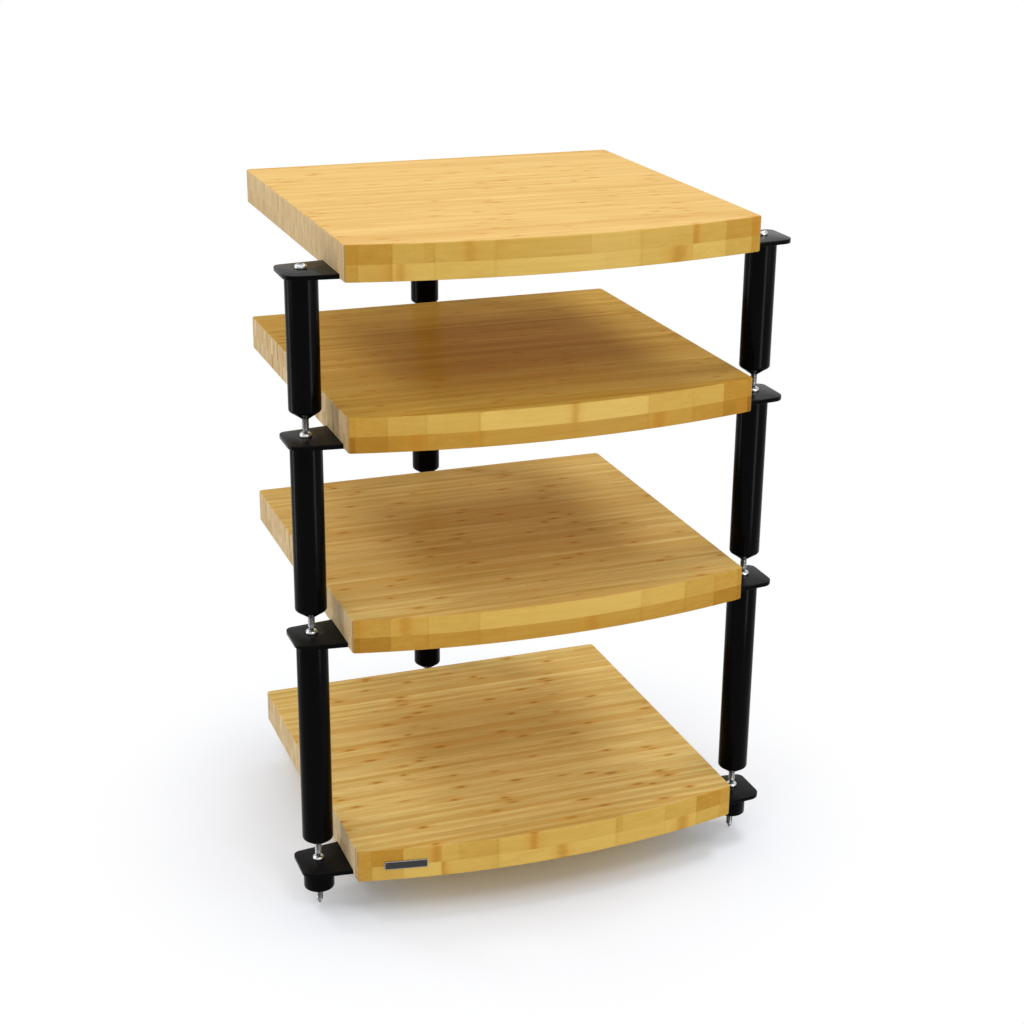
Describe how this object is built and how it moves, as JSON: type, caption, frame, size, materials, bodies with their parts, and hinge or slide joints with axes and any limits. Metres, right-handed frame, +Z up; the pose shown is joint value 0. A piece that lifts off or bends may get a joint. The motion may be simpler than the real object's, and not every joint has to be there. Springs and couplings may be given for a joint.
{
  "type": "audio equipment rack",
  "caption": "Modular audio rack: thick bow-fronted bamboo shelves on three black steel columns, stacked on chrome cups and adjustable steel spikes",
  "frame": {"origin": "the middle of the bounding box in plan, on the floor under the tips of the floor spikes", "axes": "+Z up, +X to the right as seen from the front, +Y to the back, so the bowed front faces -Y"},
  "size_m": [0.588, 0.53, 0.801],
  "materials": {
    "bamboo": "laminated caramel and natural bamboo strips under a satin clear lacquer",
    "black_coat": "satin black powder coat on steel",
    "chrome_bolt": "polished chrome",
    "zinc_steel": "bright zinc-plated thread",
    "badge": "bare satin black plate"
  },
  "bodies": {
    "base_tier": {"base_shelf": "bamboo", "base_left_bracket_plate": "black_coat", "base_left_cup_bolt": "chrome_bolt", "base_left_foot": "black_coat", "base_right_bracket_plate": "black_coat", "base_right_cup_bolt": "chrome_bolt", "base_right_foot": "black_coat", "base_rear_bracket_plate": "black_coat", "base_rear_cup_bolt": "chrome_bolt", "base_rear_foot": "black_coat", "badge_plate": "badge"},
    "lower_tier": {"lower_shelf": "bamboo", "lower_left_bracket_plate": "black_coat", "lower_left_cup_bolt": "chrome_bolt", "lower_left_leg_tube": "black_coat", "lower_right_bracket_plate": "black_coat", "lower_right_cup_bolt": "chrome_bolt", "lower_right_leg_tube": "black_coat", "lower_rear_bracket_plate": "black_coat", "lower_rear_cup_bolt": "chrome_bolt", "lower_rear_leg_tube": "black_coat"},
    "middle_tier": {"middle_shelf": "bamboo", "middle_left_bracket_plate": "black_coat", "middle_left_cup_bolt": "chrome_bolt", "middle_left_leg_tube": "black_coat", "middle_right_bracket_plate": "black_coat", "middle_right_cup_bolt": "chrome_bolt", "middle_right_leg_tube": "black_coat", "middle_rear_bracket_plate": "black_coat", "middle_rear_cup_bolt": "chrome_bolt", "middle_rear_leg_tube": "black_coat"},
    "top_tier": {"top_shelf": "bamboo", "top_left_bracket_plate": "black_coat", "top_left_cup_bolt": "chrome_bolt", "top_left_leg_tube": "black_coat", "top_right_bracket_plate": "black_coat", "top_right_cup_bolt": "chrome_bolt", "top_right_leg_tube": "black_coat", "top_rear_bracket_plate": "black_coat", "top_rear_cup_bolt": "chrome_bolt", "top_rear_leg_tube": "black_coat"},
    "base_left_floor_spike": {"base_left_floor_spike": "zinc_steel"},
    "base_right_floor_spike": {"base_right_floor_spike": "zinc_steel"},
    "base_rear_floor_spike": {"base_rear_floor_spike": "zinc_steel"},
    "lower_left_cross_spike": {"lower_left_cross_spike": "zinc_steel"},
    "lower_right_cross_spike": {"lower_right_cross_spike": "zinc_steel"},
    "lower_rear_cross_spike": {"lower_rear_cross_spike": "zinc_steel"},
    "middle_left_cross_spike": {"middle_left_cross_spike": "zinc_steel"},
    "middle_right_cross_spike": {"middle_right_cross_spike": "zinc_steel"},
    "middle_rear_cross_spike": {"middle_rear_cross_spike": "zinc_steel"},
    "top_left_cross_spike": {"top_left_cross_spike": "zinc_steel"},
    "top_right_cross_spike": {"top_right_cross_spike": "zinc_steel"},
    "top_rear_cross_spike": {"top_rear_cross_spike": "zinc_steel"}
  },
  "joints": [
    {"name": "lower_tier_lift", "type": "slide", "parent": "base_tier", "child": "lower_tier", "axis": [0, 0, 1], "range_m": [0, 0.06]},
    {"name": "middle_tier_lift", "type": "slide", "parent": "lower_tier", "child": "middle_tier", "axis": [0, 0, 1], "range_m": [0, 0.06]},
    {"name": "top_tier_lift", "type": "slide", "parent": "middle_tier", "child": "top_tier", "axis": [0, 0, 1], "range_m": [0, 0.06]},
    {"name": "base_left_floor_spike_screw", "type": "slide", "parent": "base_tier", "child": "base_left_floor_spike", "axis": [0, 0, -1], "range_m": [0, 0.008]},
    {"name": "base_right_floor_spike_screw", "type": "slide", "parent": "base_tier", "child": "base_right_floor_spike", "axis": [0, 0, -1], "range_m": [0, 0.008]},
    {"name": "base_rear_floor_spike_screw", "type": "slide", "parent": "base_tier", "child": "base_rear_floor_spike", "axis": [0, 0, -1], "range_m": [0, 0.008]},
    {"name": "lower_left_cross_spike_screw", "type": "slide", "parent": "lower_tier", "child": "lower_left_cross_spike", "axis": [0, 0, 1], "range_m": [0, 0.008]},
    {"name": "lower_right_cross_spike_screw", "type": "slide", "parent": "lower_tier", "child": "lower_right_cross_spike", "axis": [0, 0, 1], "range_m": [0, 0.008]},
    {"name": "lower_rear_cross_spike_screw", "type": "slide", "parent": "lower_tier", "child": "lower_rear_cross_spike", "axis": [0, 0, 1], "range_m": [0, 0.008]},
    {"name": "middle_left_cross_spike_screw", "type": "slide", "parent": "middle_tier", "child": "middle_left_cross_spike", "axis": [0, 0, 1], "range_m": [0, 0.008]},
    {"name": "middle_right_cross_spike_screw", "type": "slide", "parent": "middle_tier", "child": "middle_right_cross_spike", "axis": [0, 0, 1], "range_m": [0, 0.008]},
    {"name": "middle_rear_cross_spike_screw", "type": "slide", "parent": "middle_tier", "child": "middle_rear_cross_spike", "axis": [0, 0, 1], "range_m": [0, 0.008]},
    {"name": "top_left_cross_spike_screw", "type": "slide", "parent": "top_tier", "child": "top_left_cross_spike", "axis": [0, 0, 1], "range_m": [0, 0.008]},
    {"name": "top_right_cross_spike_screw", "type": "slide", "parent": "top_tier", "child": "top_right_cross_spike", "axis": [0, 0, 1], "range_m": [0, 0.008]},
    {"name": "top_rear_cross_spike_screw", "type": "slide", "parent": "top_tier", "child": "top_rear_cross_spike", "axis": [0, 0, 1], "range_m": [0, 0.008]}
  ]
}
